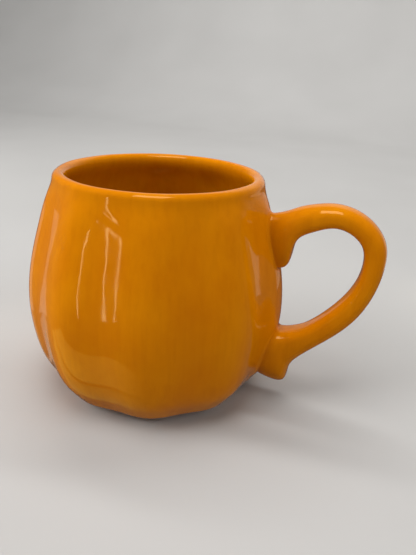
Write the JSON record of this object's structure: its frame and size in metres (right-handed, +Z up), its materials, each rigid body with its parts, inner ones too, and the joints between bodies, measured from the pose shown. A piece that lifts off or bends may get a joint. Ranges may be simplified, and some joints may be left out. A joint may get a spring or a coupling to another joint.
{
  "type": "pumpkin-shaped mug",
  "caption": "Lobed, pumpkin-shaped glazed ceramic mug with an open top, a rounded lip, a foot ring and a loop handle whose flared roots hang down in blunt tips.",
  "frame": {"origin": "centre of the foot ring, on the plane the mug stands on", "axes": "+Z up along the cup's axis, +X along the handle on the crest of a lobe, +Y to the right seen from the handle's tip looking at the cup"},
  "size_m": [0.1449, 0.105, 0.0932],
  "materials": {
    "cup_body": "glossy orange glaze over white slip-cast clay, bare clay on the foot ring",
    "handle": "glossy orange glaze over white slip-cast clay",
    "upper_joint_slip": "glossy orange glaze over smoothed clay slip",
    "lower_joint_slip": "glossy orange glaze over smoothed clay slip"
  },
  "bodies": {
    "root": {"cup_body": "cup_body", "handle": "handle", "upper_joint_slip": "upper_joint_slip", "lower_joint_slip": "lower_joint_slip"}
  },
  "joints": []
}
